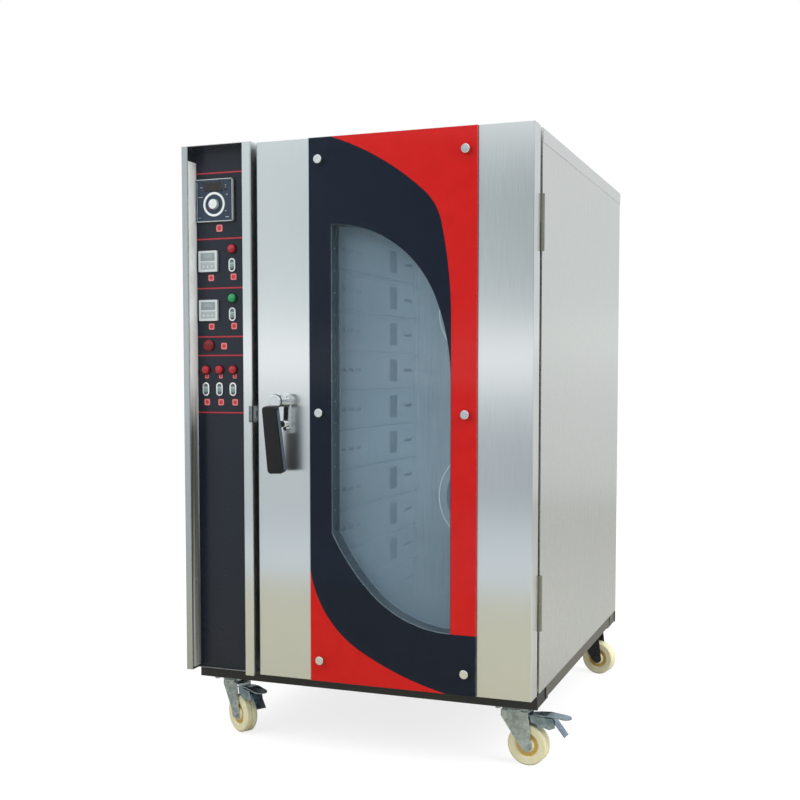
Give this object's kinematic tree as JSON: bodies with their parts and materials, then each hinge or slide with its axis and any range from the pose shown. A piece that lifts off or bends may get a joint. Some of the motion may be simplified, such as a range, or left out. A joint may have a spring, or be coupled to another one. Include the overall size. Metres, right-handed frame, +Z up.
{
  "type": "convection oven",
  "caption": "Tall bakery convection oven on castors with a glass-fronted side-hung door, a control column, tray racks, rear fans and ring heaters.",
  "frame": {"origin": "on the floor, below the middle of the object's outline", "axes": "+Z up, the front faces -Y, +X runs to the right seen from the front"},
  "size_m": [0.8849, 1.0996, 1.414],
  "materials": {
    "stainless": "satin stainless sheet",
    "panel_black": "powder coated panel, satin",
    "base_black": "powder coated base",
    "zinc": "bright zinc plated pressings",
    "fork_black": "black e-coat",
    "wheel_cream": "cream polyamide",
    "clear_glass": "toughened clear glass",
    "enamel": "ceramic enamel behind glass",
    "chrome": "polished chrome plate",
    "grip_black": "moulded grip",
    "instrument": "moulded instrument case",
    "timer": "moulded instrument case",
    "lamp_lens": "clear tinted lens",
    "rocker": "moulded rocker",
    "silicone": "silicone gasket",
    "wool": "mineral wool batt",
    "element": "sheathed element, heat tinted",
    "motor": "cast motor case",
    "electric": "contactors and terminals",
    "brass": "machined brass",
    "gland": "moulded gland",
    "lens": "ribbed lamp glass"
  },
  "bodies": {
    "cabinet": {"base_frame": "base_black", "bottom_pan": "stainless", "top_cover": "stainless", "left_side_panel": "stainless", "right_side_panel": "stainless", "back_panel": "stainless", "door_post": "stainless", "control_panel": "panel_black", "temperature_controller": "instrument", "timers": "timer", "pilot_lamps_and_buzzer": "lamp_lens", "rocker_bezels": "chrome", "inner_partitions": "stainless", "wiring_rack": "electric", "chamber_liner": "stainless", "front_frame": "stainless", "insulation": "wool", "exhaust_stub": "stainless", "door_gasket": "silicone", "tray_racks": "stainless", "fan_baffle": "stainless", "fan_guards": "stainless", "heating_elements": "element", "fan_motors": "motor", "chamber_lamp": "lens", "water_line": "brass", "cable_gland": "gland", "cabinet_hinge_leaves": "stainless", "caster_plates": "zinc"},
    "door": {"door_skin": "stainless", "door_inner_panel": "stainless", "window_surround": "stainless", "door_insulation": "wool", "inner_glass": "clear_glass", "front_glass": "clear_glass", "glass_standoffs": "stainless", "glass_enamel": "enamel", "handle_base": "chrome", "door_hinge_leaves": "stainless"},
    "handle": {"handle_lever": "chrome", "handle_grip": "grip_black"},
    "controller_knob": {"controller_knob": "instrument"},
    "lower_fan": {"lower_fan": "stainless"},
    "upper_fan": {"upper_fan": "stainless"},
    "rocker_1": {"rocker_1": "rocker"},
    "rocker_2": {"rocker_2": "rocker"},
    "rocker_3": {"rocker_3": "rocker"},
    "rocker_4": {"rocker_4": "rocker"},
    "rocker_5": {"rocker_5": "rocker"},
    "front_left_fork": {"front_left_fork": "zinc"},
    "front_left_wheel": {"front_left_wheel": "wheel_cream"},
    "front_left_brake": {"front_left_brake": "zinc"},
    "front_right_fork": {"front_right_fork": "zinc"},
    "front_right_wheel": {"front_right_wheel": "wheel_cream"},
    "front_right_brake": {"front_right_brake": "zinc"},
    "rear_left_fork": {"rear_left_fork": "fork_black"},
    "rear_left_wheel": {"rear_left_wheel": "wheel_cream"},
    "rear_right_fork": {"rear_right_fork": "fork_black"},
    "rear_right_wheel": {"rear_right_wheel": "wheel_cream"}
  },
  "joints": [
    {"name": "door_swing", "type": "hinge", "parent": "cabinet", "child": "door", "pos_m": [0.377, -0.42, 0.77], "axis": [0, 0, 1], "range_deg": [0, 135]},
    {"name": "handle_turn", "type": "hinge", "parent": "door", "child": "handle", "pos_m": [-0.192, -0.481, 0.794], "axis": [0, -1, 0], "range_deg": [0, 90]},
    {"name": "controller_knob_turn", "type": "hinge", "parent": "cabinet", "child": "controller_knob", "pos_m": [-0.376, -0.4625, 1.2405], "axis": [0, 1, 0], "range_deg": [-135, 135]},
    {"name": "rocker_1_tip", "type": "hinge", "parent": "cabinet", "child": "rocker_1", "pos_m": [-0.334, -0.453, 1.102], "axis": [1, 0, 0], "range_deg": [0, 14]},
    {"name": "rocker_2_tip", "type": "hinge", "parent": "cabinet", "child": "rocker_2", "pos_m": [-0.334, -0.453, 0.9905], "axis": [1, 0, 0], "range_deg": [0, 14]},
    {"name": "rocker_3_tip", "type": "hinge", "parent": "cabinet", "child": "rocker_3", "pos_m": [-0.4045, -0.453, 0.819], "axis": [1, 0, 0], "range_deg": [0, 14]},
    {"name": "rocker_4_tip", "type": "hinge", "parent": "cabinet", "child": "rocker_4", "pos_m": [-0.369, -0.453, 0.819], "axis": [1, 0, 0], "range_deg": [0, 14]},
    {"name": "rocker_5_tip", "type": "hinge", "parent": "cabinet", "child": "rocker_5", "pos_m": [-0.334, -0.453, 0.819], "axis": [1, 0, 0], "range_deg": [0, 14]},
    {"name": "lower_fan_spin", "type": "hinge", "parent": "cabinet", "child": "lower_fan", "pos_m": [0.0595, 0.3525, 0.5125], "axis": [0, 1, 0], "continuous": true},
    {"name": "upper_fan_spin", "type": "hinge", "parent": "cabinet", "child": "upper_fan", "pos_m": [0.0595, 0.3525, 1.0225], "axis": [0, 1, 0], "continuous": true},
    {"name": "front_left_swivel", "type": "hinge", "parent": "cabinet", "child": "front_left_fork", "pos_m": [-0.38, -0.371, 0.12], "axis": [0, 0, 1], "continuous": true},
    {"name": "front_left_roll", "type": "hinge", "parent": "front_left_fork", "child": "front_left_wheel", "pos_m": [-0.35286, -0.38796, 0.045], "axis": [0.5299, 0.848, 0], "continuous": true},
    {"name": "front_left_brake_press", "type": "hinge", "parent": "front_left_fork", "child": "front_left_brake", "pos_m": [-0.34099, -0.39538, 0.1037], "axis": [0.5299, 0.848, 0], "range_deg": [0, 9]},
    {"name": "front_right_swivel", "type": "hinge", "parent": "cabinet", "child": "front_right_fork", "pos_m": [0.314, -0.371, 0.12], "axis": [0, 0, 1], "continuous": true},
    {"name": "front_right_roll", "type": "hinge", "parent": "front_right_fork", "child": "front_right_wheel", "pos_m": [0.34582, -0.37434, 0.045], "axis": [0.1045, 0.9945, 0], "continuous": true},
    {"name": "front_right_brake_press", "type": "hinge", "parent": "front_right_fork", "child": "front_right_brake", "pos_m": [0.35975, -0.37581, 0.1037], "axis": [0.1045, 0.9945, 0], "range_deg": [0, 9]},
    {"name": "rear_left_swivel", "type": "hinge", "parent": "cabinet", "child": "rear_left_fork", "pos_m": [-0.38, 0.451, 0.12], "axis": [0, 0, 1], "continuous": true},
    {"name": "rear_left_roll", "type": "hinge", "parent": "rear_left_fork", "child": "rear_left_wheel", "pos_m": [-0.3487, 0.44435, 0.045], "axis": [0.2079, 0.9781, 0], "continuous": true},
    {"name": "rear_right_swivel", "type": "hinge", "parent": "cabinet", "child": "rear_right_fork", "pos_m": [0.314, 0.451, 0.12], "axis": [0, 0, 1], "continuous": true},
    {"name": "rear_right_roll", "type": "hinge", "parent": "rear_right_fork", "child": "rear_right_wheel", "pos_m": [0.3453, 0.44435, 0.045], "axis": [0.2079, 0.9781, 0], "continuous": true}
  ]
}
